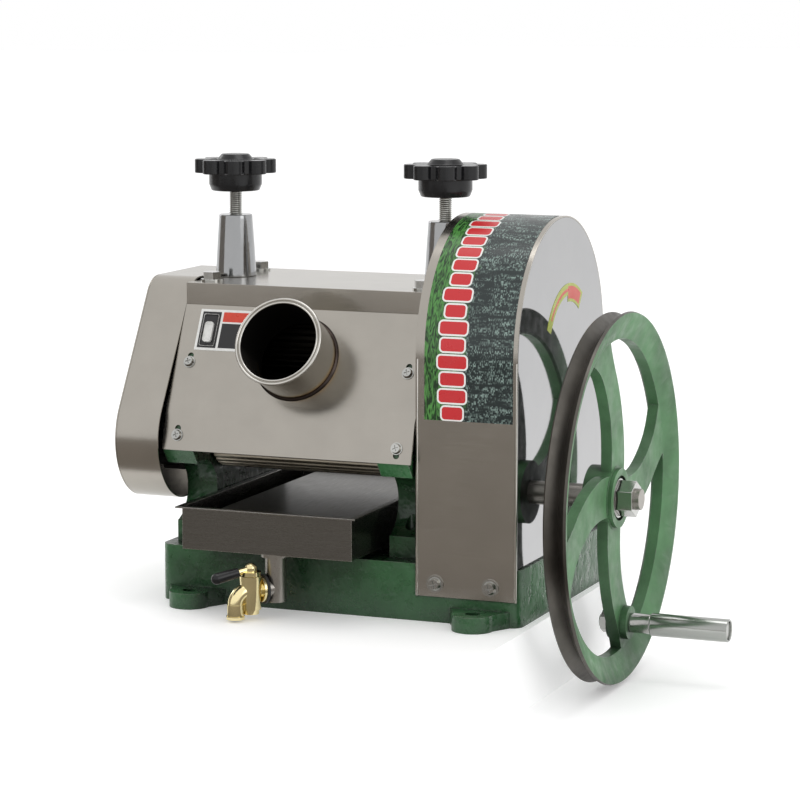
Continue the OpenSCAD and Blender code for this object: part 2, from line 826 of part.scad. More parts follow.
// The back plate sits a little inside the wrapper's edge, clear of the right tower's foot
module right_cover_back_plate() {
    x0 = right_cover_x + back_inset;
    color("lightgray")
    difference() {
        across(x0, x0 + cover_t) arch_outline(right_cover_r - cover_t, base_h);
        x_rod(right_cover_x - 5, right_cover_x + 5, 0, shaft_z, boss_r + 0.5);
        x_rod(right_cover_x - 5, right_cover_x + 5, 0, top_axis_z, journal_r + 6);
    }
}
module right_cover_screws() {
    color("silver")
    cover_screw_spots() {
        translate([0, 0, -12]) cylinder(h = 12.5, r = 3);
        cylinder(h = 1, r = 6.5);
        translate([0, 0, 1])
            difference() {
                cylinder(h = 3.2, r1 = 5, r2 = 3.8);
                for (a = [0, 90])
                    rotate([0, 0, a + 15]) translate([-3, -0.5, 1.6]) cube([6, 1, 3]);
            }
    }
}
module hand_label() {
    color("white")
    on_slope(panel_x + 13.5 + 24, 3.5 + 16.5)
        translate([-24, -16.5, 0]) cube([48, 33, 0.3]);
}
module cover_decal() {
    decal_t = 0.25;
    decal_low = 150.7;
    color("darkgreen")
    across(right_cover_x + 7, right_cover_x1 - 3.5)
        difference() {
            arch_outline(right_cover_r + decal_t, decal_low);
            arch_outline(right_cover_r, right_cover_z);
            square([2 * top_axis_z, 2 * top_axis_z]);
        }
}
// Bent arrow that shows the wheel's turning direction
module arrow_decal() {
    arc_y = 14;
    arc_z = 188;
    arc_r = 50;
    half_w = 4.5;
    head = 5;
    color("red")
    across(right_cover_x1, right_cover_x1 + 0.25)
        translate([arc_y, arc_z]) {
            intersection() {
                difference() {
                    circle(r = arc_r + half_w);
                    circle(r = arc_r - half_w);
                }
                polygon([[0, 0], [0, 2 * arc_r], [-2 * arc_r, 2 * arc_r], [-2 * arc_r, arc_r]]);
            }
            intersection() {
                difference() {
                    circle(r = arc_r + half_w);
                    circle(r = arc_r - half_w - head);
                }
                polygon([[-2, 0], [-2, 2 * arc_r], [2 * arc_r, 2 * arc_r], [1.2 * arc_r, 1.6 * arc_r]]);
            }
        }
}

// Bearing blocks and rollers
module bearing_blocks() {
    color("dimgray")
    difference() {
        each_frame()
            slab(
                [-frame_t / 2, frame_t / 2], [-block_w / 2, block_w / 2],
                [top_axis_z - block_low, block_top]
            );
        x_rod(left_out - over, right_out + over, 0, top_axis_z, bush_r);
    }
}
module block_bushes() {
    color("darkgoldenrod")
    each_frame() bush(-frame_t / 2, frame_t / 2, 0, top_axis_z, journal_r);
}
module roller_shaft(y, z, x_end) {
    x_rod(gear_x0, x_end, y, z, journal_r);
    x_rod(gear_x0 - nut_t - 1, gear_x0 + over, y, z, nut_thread_r);
}
// Crushing drum with fine flutes cut along its length
module roller_drum(y, z) {
    flutes = 44;
    flute_w = 1.5;
    across(left_in + end_gap, right_in - end_gap)
        translate([y, z])
            difference() {
                circle(r = roller_r, $fn = 128);
                for (i = [0:flutes - 1])
                    rotate(i * 360 / flutes)
                        translate([roller_r, 0]) rotate(45) square(flute_w, center = true);
            }
}
module top_roller() {
    color("silver") {
        roller_drum(0, top_axis_z);
        roller_shaft(0, top_axis_z, drive_x1);
        x_rod(drive_x1 - over, drive_x1 + nut_t + 1, 0, top_axis_z, nut_thread_r);
    }
}
module lower_roller(y) {
    color("silver") {
        roller_drum(y, lower_z);
        roller_shaft(y, lower_z, right_out);
    }
}
module front_roller() {
    lower_roller(-lower_y);
}
module rear_roller() {
    lower_roller(lower_y);
}
module spur_gear(x0, x1, y, z, n, m, phase, bore, hub, steps) {
    difference() {
        union() {
            across(x0, x1) translate([y, z]) polygon(gear_points(n, m, phase, steps));
            x_rod(x0 - 2, x1, y, z, hub);
        }
        x_rod(x0 - 2 - over, x1 + over, y, z, bore);
    }
}
module drive_gear() {
    pitch_r = drive_mod * drive_teeth / 2;
    color("slategray")
    difference() {
        spur_gear(drive_x0, drive_x1, 0, top_axis_z, drive_teeth, drive_mod, drive_phase, journal_r,
            journal_r + 9, 3);
        // Recessed web between the hub and the toothed rim
        difference() {
            x_rod(drive_x1 - 5, drive_x1 + over, 0, top_axis_z, pitch_r - 14);
            x_rod(drive_x1 - 6, drive_x1 + 2 * over, 0, top_axis_z, journal_r + 9);
        }
    }
}
module roller_gear(y, z, phase) {
    color("slategray")
    spur_gear(gear_x0, gear_x1, y, z, roller_teeth, roller_mod, phase, journal_r, journal_r + 6, 4);
}
module top_roller_gear() {
    roller_gear(0, top_axis_z, top_phase);
}
module front_roller_gear() {
    roller_gear(-lower_y, lower_z, front_phase);
}
module rear_roller_gear() {
    roller_gear(lower_y, lower_z, rear_phase);
}
module gear_nut(x0, y, z) {
    color("silver") x_nut(x0, x0 + nut_t, y, z, gear_nut_af, nut_thread_r);
}
module top_gear_nuts() {
    gear_nut(gear_x0 - 2 - nut_t, 0, top_axis_z);
    gear_nut(drive_x1, 0, top_axis_z);
}
module front_gear_nut() {
    gear_nut(gear_x0 - 2 - nut_t, -lower_y, lower_z);
}
module rear_gear_nut() {
    gear_nut(gear_x0 - 2 - nut_t, lower_y, lower_z);
}

// Input shaft and handwheel
module input_shaft() {
    color("silver") {
        x_rod(right_in - 1, hub_seat, 0, shaft_z, shaft_r);
        x_rod(hub_seat - over, hub_seat + washer_t + hub_nut_t + 4, 0, shaft_z, thread_r);
    }
}
module pinion() {
    color("slategray")
    spur_gear(drive_x0, drive_x1, 0, shaft_z, pinion_teeth, drive_mod, pinion_phase, shaft_r, shaft_r + 5, 4);
}
module spoke() {
    first = 16;
    last = rim_inner + 2;
    steps = 14;
    radii = [for (k = [0:steps]) first + (last - first) * k / steps];
    edge = function (s) [
        for (r = radii)
            let (a = spoke_angle(r) + s * spoke_width(r) / 2 / r * 180 / PI)
            [r * cos(a), r * sin(a)]
    ];
    polygon(concat(edge(1), reversed(edge(-1))));
}
module handwheel() {
    back = wheel_x - rim_w;
    color("mediumseagreen")
    difference() {
        union() {
            translate([0, 0, shaft_z])
                rotate([90, 0, 90])
                    rotate_extrude($fn = 128)
                        polygon([
                            [wheel_r - 0.8, wheel_x], [wheel_r - 3.5, wheel_x],
                            [rim_inner + 1.5, spoke_x1 + 0.8],
                            [rim_inner, spoke_x1], [rim_inner, back + 1.8], [rim_inner + 1.8, back],
                            [wheel_r - 1.8, back], [wheel_r - 1, back + 1.2],
                            [wheel_r - groove_d, (wheel_x + back) / 2], [wheel_r, wheel_x - 2]
                        ]);
            across(spoke_x1 - spoke_t, spoke_x1)
                translate([0, shaft_z])
                    for (i = [0:spokes - 1]) rotate(i * 360 / spokes) spoke();
            x_rod(hub_x0, hub_seat, 0, shaft_z, hub_r);
            x_rod(hub_seat - over, wheel_x - 4, 0, shaft_z, hub_r - 1.5);
            x_rod(spoke_x1 - spoke_t - 2, wheel_x - 2, handle_y, handle_z, sleeve_r + 4);
        }
        x_rod(hub_x0 - over, wheel_x + over, 0, shaft_z, shaft_r);
        x_rod(hub_seat, wheel_x + over, 0, shaft_z, 17);
        x_rod(hub_x0 - over, wheel_x + over, handle_y, handle_z, handle_bolt_r);
    }
}
module hub_washer() {
    color("silver")
    difference() {
        x_rod(hub_seat, hub_seat + washer_t, 0, shaft_z, 15);
        x_rod(hub_seat - over, hub_seat + washer_t + over, 0, shaft_z, thread_r + hole_gap);
    }
}
module hub_nut() {
    x0 = hub_seat + washer_t;
    color("silver") x_nut(x0, x0 + hub_nut_t, 0, shaft_z, hub_nut_af, thread_r);
}
module handle_bolt() {
    color("silver") {
        x_rod(spoke_x1 - spoke_t - 10, sleeve_x0 + sleeve_l - 4, handle_y, handle_z, handle_bolt_r);
        x_rod(wheel_x - 2, sleeve_x0 - 0.2, handle_y, handle_z, sleeve_r - 1.3);
        x_rod(sleeve_x0 + sleeve_l - 6, sleeve_x0 + sleeve_l - 1.5, handle_y, handle_z, handle_bolt_r + 1.8);
    }
}
module handle_nut() {
    x1 = spoke_x1 - spoke_t - 2;
    color("silver") x_nut(x1 - 6, x1, handle_y, handle_z, 16, handle_bolt_r);
}
module handle_sleeve() {
    color("gainsboro")
    difference() {
        x_rod(sleeve_x0, sleeve_x0 + sleeve_l, handle_y, handle_z, sleeve_r);
        x_rod(sleeve_x0 - over, sleeve_x0 + sleeve_l + over, handle_y, handle_z, handle_bolt_r + run_gap);
        x_rod(
            sleeve_x0 + sleeve_l - sleeve_recess, sleeve_x0 + sleeve_l + over, handle_y, handle_z,
            handle_bolt_r + 2.1
        );
    }
}

// Tray and tap
module juice_tray() {
    x = [tray_x, tray_x + tray_w];
    y = [tray_y, tray_y + tray_l];
    flange = tray_flange;
    color("lightgray")
    difference() {
        union() {
            slab(x, y, [tray_z, tray_top]);
            slab([x[0] - flange, x[1] + flange], [y[0] - flange, y[1]], [tray_top - tray_t, tray_top]);
        }
        slab(
            [x[0] + tray_t, x[1] - tray_t], [y[0] + tray_t, y[1] - tray_t],
            [tray_z + tray_t, tray_top + over]
        );
        translate([tap_x, tap_y, tray_z - over]) cylinder(h = tray_t + 2 * over, r = pipe_r);
    }
}
module strainer_plate() {
    x = [tray_x + strainer_slot, tray_x + tray_w - 3];
    y = [tray_y + 8, tray_y + tray_l - 8];
    color("gainsboro")
    difference() {
        slab(x, y, [tray_z + tray_t, strainer_z]);
        slab([x[0] + tray_t, x[1] - tray_t], [y[0] - over, y[1] + over], [tray_z, strainer_z - tray_t]);
    }
}
module at_tap() {
    translate([tap_x, tap_y, tap_z]) rotate([0, 0, tap_turn]) children();
}
module tap_pipe() {
    color("gray")
    difference() {
        union() {
            translate([tap_x, tap_y, tap_z - 10]) cylinder(h = tray_z + tray_t + 1 - tap_z + 10, r = pipe_r);
            translate([tap_x, tap_y, tray_z - 2.5]) cylinder(h = 2.5, r = pipe_r + 3);
            at_tap() x_rod(0, tap_face, 0, 0, pipe_r - 1);
        }
        translate([tap_x, tap_y, tap_z - 5]) cylinder(h = tray_z + 2 * tray_t + 10 - tap_z, r = pipe_r - 3);
        at_tap() x_rod(0, tap_face + over, 0, 0, 4);
    }
}
module tap_washer() {
    color([0.1, 0.1, 0.1])
    at_tap()
        difference() {
            x_rod(tap_face, tap_face + 2, 0, 0, 11);
            x_rod(tap_face - over, tap_face + 2 + over, 0, 0, 4);
        }
}
// Bent end of the tap: a quarter ring that runs into a straight mouth
module spout(bend_r, mouth_r, low) {
    translate([23, 0, -10])
        rotate([90, 0, 0])
            rotate_extrude(angle = 90) translate([10, 0]) circle(r = bend_r);
    translate([33, 0, low]) cylinder(h = -9.4 - low, r = mouth_r);
}
module tap_body() {
    mouth_z = -20.3;
    color("gold")
    at_tap()
        difference() {
            union() {
                x_rod(tap_face + 2, tap_face + 4.2, 0, 0, 9.75);
                x_rod(tap_face + 4, 23.6, 0, 0, 6.3);
                translate([barrel_x, 0, barrel_low])
                    cylinder(h = barrel_high - barrel_low, r1 = 7.6, r2 = 8.6);
                spout(5.9, 6.2, mouth_z);
                translate([33, 0, mouth_z]) cylinder(h = 2.5, r = 6.8);
            }
            x_rod(tap_face, 23.4, 0, 0, 4);
            spout(3.5, 4, mouth_z - over);
            translate([barrel_x, 0, barrel_low - over])
                cylinder(h = barrel_high - barrel_low + 2 * over, r = 5.5 + run_gap);
        }
}
module tap_plug() {
    color("goldenrod")
    at_tap()
        translate([barrel_x, 0, 0])
            difference() {
                union() {
                    translate([0, 0, barrel_low - 3]) cylinder(h = barrel_high - barrel_low + 6, r = 5.5);
                    translate([0, 0, barrel_low - 3.5]) cylinder(h = 3.3, r = 6.1);
                    translate([0, 0, barrel_high + 0.2]) cylinder(h = 3, r = 7.6);
                    translate([0, 0, barrel_high + 3]) cylinder(h = 3, r = 4.6);
                    translate([0, 0, barrel_high + 5]) sphere(r = 4.6);
                    translate([0, 0, barrel_high + 5]) rotate([0, 100, 0]) cylinder(h = 24, r = 2.4);
                }
                x_rod(-9, 9, 0, 0, 4);
            }
}
module tap_grip() {
    color([0.1, 0.1, 0.1])
    at_tap()
        translate([barrel_x, 0, barrel_high + 5])
            rotate([0, 100, 0])
                difference() {
                    union() {
                        translate([0, 0, 10.5]) cylinder(h = 17.5, r1 = 3.8, r2 = 4.2);
                        translate([0, 0, 28]) sphere(r = 4.2);
                    }
                    cylinder(h = 24, r = 2.4);
                }
}

base_casting();
left_side_frame();
right_side_frame();
outboard_bearing();
cap_bars();
cap_bolts();
frame_bolts();
frame_bushes();
turner_bar();
top_cover();
front_panel();
rear_panel();
panel_screws();
feed_tube();
outlet_chute();
screw_towers();
left_cover_band();
left_cover_plate();
left_cover_studs();
right_cover_wrapper();
right_cover_side_plate();
right_cover_back_plate();
right_cover_screws();
hand_label();
cover_decal();
arrow_decal();
bearing_blocks();
block_bushes();
pressure_springs();
top_roller();
drive_gear();
top_roller_gear();
top_gear_nuts();
front_roller();
front_roller_gear();
front_gear_nut();
rear_roller();
rear_roller_gear();
rear_gear_nut();
input_shaft();
pinion();
handwheel();
hub_washer();
hub_nut();
handle_bolt();
handle_nut();
handle_sleeve();
pressure_pad(left_frame_x);  // left_pressure_pad
pressure_screw(left_frame_x);  // left_pressure_screw
star_knob(left_frame_x);  // left_knob
pressure_pad(right_frame_x);  // right_pressure_pad
pressure_screw(right_frame_x);  // right_pressure_screw
star_knob(right_frame_x);  // right_knob
juice_tray();
strainer_plate();
tap_pipe();
tap_washer();
tap_body();
tap_plug();
tap_grip();
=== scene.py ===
import math

import bpy
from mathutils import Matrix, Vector


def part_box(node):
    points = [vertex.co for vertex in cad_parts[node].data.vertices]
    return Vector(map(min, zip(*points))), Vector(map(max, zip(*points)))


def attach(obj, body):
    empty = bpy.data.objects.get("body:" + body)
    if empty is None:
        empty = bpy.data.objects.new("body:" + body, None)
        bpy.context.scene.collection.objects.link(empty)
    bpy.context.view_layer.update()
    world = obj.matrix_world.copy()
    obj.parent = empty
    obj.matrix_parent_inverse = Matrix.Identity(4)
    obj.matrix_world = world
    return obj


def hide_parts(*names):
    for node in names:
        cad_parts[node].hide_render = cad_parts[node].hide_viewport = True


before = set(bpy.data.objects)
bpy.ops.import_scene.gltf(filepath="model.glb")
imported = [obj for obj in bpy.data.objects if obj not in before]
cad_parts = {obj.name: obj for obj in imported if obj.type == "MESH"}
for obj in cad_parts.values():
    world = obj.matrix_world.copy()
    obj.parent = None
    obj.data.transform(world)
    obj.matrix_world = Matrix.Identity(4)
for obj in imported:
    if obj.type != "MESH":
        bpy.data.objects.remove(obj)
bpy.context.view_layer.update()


# Camera
# A long lens stands a little above the machine and to its right, so that the feed tube, both
# covers and the handwheel show.
camera_data = bpy.data.cameras.new("camera")
camera_data.lens = 135.4
camera_data.sensor_width = 36
camera_tilt = math.radians(81.8)
camera_heading = math.radians(21.88)
camera = bpy.data.objects.new("camera", camera_data)
camera.location = (0.8636, -2.1204, 0.4779)
camera.rotation_euler = (camera_tilt, 0, camera_heading)
bpy.context.collection.objects.link(camera)
bpy.context.scene.camera = camera
bpy.context.scene.view_settings.view_transform = "Standard"


# Studio
# A white room with three soft boxes: one beside the handwheel, one overhead and one behind the
# left cover.
world = bpy.data.worlds.new("studio")
world.use_nodes = True
world.node_tree.nodes["Background"].inputs["Color"].default_value = (1.0, 1.0, 1.0, 1)
world.node_tree.nodes["Background"].inputs["Strength"].default_value = 1.0
bpy.context.scene.world = world


def soft_box(name, place, target, size, power):
    """A rectangular lamp at place that shines at target."""
    data = bpy.data.lights.new(name, "AREA")
    data.shape = "RECTANGLE"
    data.size = size[0]
    data.size_y = size[1]
    data.energy = power
    light = bpy.data.objects.new(name, data)
    light.location = place
    light.rotation_euler = (Vector(target) - Vector(place)).to_track_quat("-Z", "Y").to_euler()
    bpy.context.collection.objects.link(light)


soft_box("fill_light", place=(2.2, -0.9, 1.1), target=(0.1, 0, 0.15), size=(1.2, 1.4), power=7)
soft_box("top_light", place=(0.1, 0.2, 2.2), target=(0, 0, 0.2), size=(1.2, 1.0), power=9)
soft_box("rim_light", place=(-2.0, 0.9, 1.0), target=(0, 0, 0.15), size=(0.5, 1.0), power=5)


# Floor and bench
# The machine is bolted to a pale painted bench with its wheel past the edge, above a floor of
# the same colour that just clears the wheel.
def new_material(name, color, metallic=0.0, roughness=0.4, specular=0.5):
    material = bpy.data.materials.new(name)
    material.use_nodes = True
    shader = material.node_tree.nodes["Principled BSDF"]
    shader.inputs["Base Color"].default_value = (*color, 1)
    shader.inputs["Metallic"].default_value = metallic
    shader.inputs["Roughness"].default_value = roughness
    shader.inputs["Specular IOR Level"].default_value = specular
    return material


def shader_of(material):
    return material.node_tree.nodes["Principled BSDF"]


def node(material, kind, **values):
    made = material.node_tree.nodes.new(kind)
    for name, value in values.items():
        setattr(made, name, value)
    return made


def wire(material, source, target):
    material.node_tree.links.new(source, target)


def noise(material, scale, stretch=(1, 1, 1), detail=4.0, sharp=0.55):
    """Cloudy noise on the object's own coordinates."""
    place = node(material, "ShaderNodeTexCoord")
    mapping = node(material, "ShaderNodeMapping")
    mapping.inputs["Scale"].default_value = stretch
    texture = node(material, "ShaderNodeTexNoise")
    texture.inputs["Scale"].default_value = scale
    texture.inputs["Detail"].default_value = detail
    texture.inputs["Roughness"].default_value = sharp
    wire(material, place.outputs["Object"], mapping.inputs["Vector"])
    wire(material, mapping.outputs["Vector"], texture.inputs["Vector"])
    return texture.outputs["Fac"]


def spread(material, socket, low, high, out_low, out_high):
    """The socket's values from low to high, stretched to out_low and out_high."""
    ranged = node(material, "ShaderNodeMapRange")
    for name, value in (("From Min", low), ("From Max", high), ("To Min", out_low), ("To Max", out_high)):
        ranged.inputs[name].default_value = value
    wire(material, socket, ranged.inputs["Value"])
    return ranged.outputs["Result"]


def vary_roughness(material, scale, smooth, rough):
    """Patches between a smooth and a rough value."""
    wire(material, spread(material, noise(material, scale), 0.3, 0.7, smooth, rough),
         shader_of(material).inputs["Roughness"])


def wear(piece, material):
    """The piece carries this finish alone."""
    piece.data.materials.clear()
    piece.data.materials.append(material)


floor_finish = new_material("pale_floor", (0.86, 0.86, 0.86), 0.0, 0.6)
vary_roughness(floor_finish, 6, 0.5, 0.7)
shader_of(floor_finish).inputs["Emission Color"].default_value = (1, 1, 1, 1)
shader_of(floor_finish).inputs["Emission Strength"].default_value = 0.22
room_size = 30
bench_length = 6
bench_margin = 0.006
floor_gap = 0.003
bench_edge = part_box("base_casting")[1][0] + bench_margin
floor_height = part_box("handwheel")[0][2] - floor_gap
bpy.ops.object.select_all(action="DESELECT")
bpy.ops.mesh.primitive_plane_add(size=room_size, location=(0, 0, floor_height))
floor = bpy.context.object
floor.name = "floor"
wear(floor, floor_finish)
bpy.ops.mesh.primitive_cube_add(size=1, location=(bench_edge - bench_length / 2, 0, floor_height / 2))
bench = bpy.context.object
bench.name = "bench_top"
bench.scale = (bench_length, room_size, -floor_height)
bpy.ops.object.transform_apply(location=True, rotation=True, scale=True)
wear(bench, floor_finish)


# Studio cards
# Matt grey cards give the polished steel something darker than the room to mirror. They are
# hidden from everything but reflections.
card_finish = new_material("grey_card", (0.24, 0.215, 0.19), 0.0, 0.8)
vary_roughness(card_finish, 3, 0.7, 0.9)


def studio_card(name, place, size, turn):
    """A grey card that only the polished steel sees."""
    bpy.ops.object.select_all(action="DESELECT")
    bpy.ops.mesh.primitive_plane_add(size=1, location=place, rotation=turn)
    card = bpy.context.object
    card.name = name
    card.scale = (size[0], size[1], 1)
    bpy.ops.object.transform_apply(location=True, rotation=True, scale=True)
    card.visible_camera = False
    card.visible_diffuse = False
    card.visible_shadow = False
    wear(card, card_finish)


studio_card("card_in_front", place=(-0.9, -1.75, 0.004), size=(3.0, 3.2), turn=(0, 0, 0))
studio_card("card_at_left", place=(-1.6, -0.5, 0.5), size=(1.0, 1.4), turn=(0, math.pi / 2, 0))


# Castings
# Base, side frames, bearing pedestal and cap bars are sand cast iron with rounded arrises,
# sprayed with a hammered green enamel that is worn on the corners, with painted shade in the recesses.
def mix_colors(material, factor, first, second):
    """The first colour where factor is 0 and the second where it is 1."""
    mixed = node(material, "ShaderNodeMix", data_type="RGBA")
    wire(material, factor, mixed.inputs["Factor"])
    for name, value in (("A", first), ("B", second)):
        socket = [s for s in mixed.inputs if s.name == name and s.type == "RGBA"][0]
        if isinstance(value, tuple):
            socket.default_value = (*value, 1)
        else:
            wire(material, value, socket)
    return [s for s in mixed.outputs if s.type == "RGBA"][0]


def scaled(color, factor):
    return tuple(min(1, factor * channel) for channel in color)


def add_bump(material, height, distance, strength=1.0):
    """One more layer of relief on top of those that the material has."""
    bump = node(material, "ShaderNodeBump")
    bump.inputs["Distance"].default_value = distance
    bump.inputs["Strength"].default_value = strength
    wire(material, height, bump.inputs["Height"])
    normal = shader_of(material).inputs["Normal"]
    if normal.links:
        wire(material, normal.links[0].from_socket, bump.inputs["Normal"])
    wire(material, bump.outputs["Normal"], normal)


def edge_mask(material, radius, low, high):
    """1 on the arrises and 0 on flat ground."""
    bevel = node(material, "ShaderNodeBevel", samples=4)
    bevel.inputs["Radius"].default_value = radius
    geometry = node(material, "ShaderNodeNewGeometry")
    dot = node(material, "ShaderNodeVectorMath", operation="DOT_PRODUCT")
    wire(material, bevel.outputs["Normal"], dot.inputs[0])
    wire(material, geometry.outputs["Normal"], dot.inputs[1])
    return spread(material, dot.outputs["Value"], high, low, 0.0, 1.0)


def enamel(name, color, worn, dimple, roughness):
    """Sprayed enamel: cloudy colour, chipped arrises, painted shade in the recesses, two sizes of dimple."""
    material = new_material(name, color, 0.0, roughness)
    clouds = spread(material, noise(material, 22), 0.35, 0.65, 0, 1)
    coat = mix_colors(material, clouds, scaled(color, 0.72), scaled(color, 1.25))
    chips = node(material, "ShaderNodeMath", operation="MULTIPLY")
    wire(material, edge_mask(material, 0.0016, 0.86, 0.97), chips.inputs[0])
    wire(material, spread(material, noise(material, 160), 0.42, 0.6, 0, 1), chips.inputs[1])
    chipped = mix_colors(material, chips.outputs[0], coat, worn)
    # Painted shade: where ambient occlusion finds the surface closed in, the colour darkens to a tenth.
    recess = node(material, "ShaderNodeAmbientOcclusion", samples=6)
    recess.inputs["Distance"].default_value = 0.09
    openness = spread(material, recess.outputs["AO"], 0.25, 0.8, 0, 1)
    painted_shade_coat = mix_colors(material, openness, scaled(color, 0.10), chipped)
    wire(material, painted_shade_coat, shader_of(material).inputs["Base Color"])
    vary_roughness(material, 90, roughness * 0.75, roughness * 1.5)
    add_bump(material, noise(material, 190, detail=1.5), dimple)
    add_bump(material, noise(material, 45, detail=2), dimple * 1.6, 0.7)
    return material


def pick(piece):
    bpy.ops.object.select_all(action="DESELECT")
    piece.select_set(True)
    bpy.context.view_layer.objects.active = piece


def finish_modifier(piece, modifier):
    pick(piece)
    bpy.ops.object.modifier_apply(modifier=modifier.name)


def eased(cad_node, body, arris, finish, steps=2, crease=math.radians(32)):
    """A copy of a machined or cast part with its sharp arrises eased."""
    piece = bpy.data.objects.new(cad_node + "_finished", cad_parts[cad_node].data.copy())
    bpy.context.collection.objects.link(piece)
    pick(piece)
    bpy.ops.object.mode_set(mode="EDIT")
    bpy.ops.mesh.select_all(action="SELECT")
    bpy.ops.mesh.remove_doubles(threshold=0.000004)
    bpy.ops.mesh.dissolve_limited(angle_limit=math.radians(0.4))
    bpy.ops.object.mode_set(mode="OBJECT")
    if arris:
        bevel = piece.modifiers.new("eased", "BEVEL")
        bevel.width = arris
        bevel.segments = steps
        bevel.limit_method = "ANGLE"
        bevel.angle_limit = crease
        bevel.use_clamp_overlap = True
        bevel.harden_normals = False
        finish_modifier(piece, bevel)
    pick(piece)
    bpy.ops.object.shade_smooth_by_angle(angle=crease)
    weighted = piece.modifiers.new("flat_faces", "WEIGHTED_NORMAL")
    weighted.keep_sharp = True
    weighted.weight = 100
    finish_modifier(piece, weighted)
    wear(piece, finish)
    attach(piece, body)
    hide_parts(cad_node)
    return piece


green_enamel = enamel("green_enamel", (0.036, 0.128, 0.046), worn=(0.17, 0.19, 0.16), dimple=0.0007,
                      roughness=0.26)
eased("base_casting", "machine", 0.0018, green_enamel, steps=3)
eased("left_side_frame", "machine", 0.0012, green_enamel)
eased("right_side_frame", "machine", 0.0012, green_enamel)
eased("outboard_bearing", "machine", 0.001, green_enamel)
eased("cap_bars", "machine", 0.001, green_enamel)


# Stainless sheets
# Top plate, panels, left cover and chute are folded from bright rolled sheet with faint grain
# along the machine and shallow waves where the sheet has sprung. Screws hold them to the frames.
def metal(name, color, roughness, stretch=(1, 1, 1), grain=300, ripple=0.00002, spot=0.12, dents=0.0):
    """Bare metal: duller spots, grain that stretch draws out into streaks, and shallow dents."""
    material = new_material(name, color, 1.0, roughness)
    spots = spread(material, noise(material, 30), 0.35, 0.7, 0, 1)
    body = mix_colors(material, spots, color, scaled(color, 1 - spot))
    wire(material, body, shader_of(material).inputs["Base Color"])
    streaks = noise(material, grain, stretch, detail=3)
    wire(material, spread(material, streaks, 0.3, 0.7, roughness * 0.85, roughness * 1.2),
         shader_of(material).inputs["Roughness"])
    add_bump(material, streaks, ripple)
    if dents:
        add_bump(material, noise(material, 9, detail=1), dents, 0.5)
    return material


sheet_arris = 0.0003
across_machine = (1, 40, 40)
stainless = metal("rolled_stainless", (0.41, 0.385, 0.345), 0.22, across_machine, 60, 0.0000006, 0.07,
                  0.00022)
for sheet in ("top_cover", "front_panel", "rear_panel", "outlet_chute", "left_cover_band",
              "left_cover_plate", "right_cover_back_plate", "right_cover_wrapper"):
    eased(sheet, "machine", sheet_arris, stainless)


# Cover edge beads
# The wrapper sheet's two edges are rolled round a wire, which stiffens the arch; each bead is
# one bar that runs up the front, over the arch and down the back.
bead_radius = 0.0011
bead_sides = 14
arch_steps = 56
polished_edge = metal("polished_edge", (0.62, 0.60, 0.56), 0.13, grain=200, ripple=0.000002, spot=0.1)
wrapper_low, wrapper_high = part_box("right_cover_wrapper")
arch_radius = (wrapper_high[1] - wrapper_low[1]) / 2
arch_height = wrapper_high[2] - arch_radius
leg_length = arch_height - wrapper_low[2]
for bead_name, bead_x in (("cover_bead_left", wrapper_low[0] + bead_radius),
                          ("cover_bead_right", wrapper_high[0] - bead_radius)):
    bpy.ops.object.select_all(action="DESELECT")
    bpy.ops.mesh.primitive_circle_add(vertices=bead_sides, radius=bead_radius,
                                      location=(bead_x, 0.4 * bead_radius - arch_radius, wrapper_low[2]))
    bead = bpy.context.object
    bead.name = bead_name
    bpy.ops.object.transform_apply(location=True, rotation=True, scale=True)
    bpy.ops.object.mode_set(mode="EDIT")
    bpy.ops.mesh.select_all(action="SELECT")
    bpy.ops.mesh.extrude_region_move(TRANSFORM_OT_translate={"value": (0, 0, leg_length)})
    bpy.ops.mesh.spin(steps=arch_steps, angle=-math.pi, center=(bead_x, 0, arch_height), axis=(1, 0, 0))
    bpy.ops.mesh.extrude_region_move(TRANSFORM_OT_translate={"value": (0, 0, -leg_length)})
    bpy.ops.mesh.select_all(action="SELECT")
    bpy.ops.mesh.remove_doubles(threshold=0.000002)
    bpy.ops.mesh.fill_holes(sides=0)
    bpy.ops.mesh.select_all(action="SELECT")
    bpy.ops.mesh.normals_make_consistent(inside=False)
    bpy.ops.object.mode_set(mode="OBJECT")
    bpy.ops.object.shade_smooth_by_angle(angle=math.radians(40))
    wear(bead, polished_edge)
    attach(bead, "machine")


# Cover side plate
# The plate that faces the handwheel is mirror polished stainless, so it shows the wheel and the
# shaft. It closes the wrapper sheet on that side.
mirror_steel = metal("mirror_plate", (0.39, 0.39, 0.395), 0.035, grain=60, ripple=0.000001, spot=0.04,
                     dents=0.00015)
eased("right_cover_side_plate", "machine", 0.0002, mirror_steel)


# Hardware
# Bolts, nuts, washers and studs are turned or pressed steel with bright zinc plating. They hold
# the castings and covers together and clamp the wheel and gears on their shafts.
zinc = metal("zinc_plate", (0.52, 0.52, 0.50), 0.17, grain=400, ripple=0.000005, spot=0.22)
for small_part in ("cap_bolts", "frame_bolts", "panel_screws", "left_cover_studs", "right_cover_screws"):
    eased(small_part, "machine", 0.0003, zinc)
nut_arris = 0.0006
for large_part in ("hub_washer", "hub_nut", "handle_bolt", "handle_nut"):
    eased(large_part, "handwheel", nut_arris, zinc)
for gear_nut, roller in (("top_gear_nuts", "top_roller"), ("front_gear_nut", "front_roller"),
                         ("rear_gear_nut", "rear_roller")):
    eased(gear_nut, roller, nut_arris, zinc)
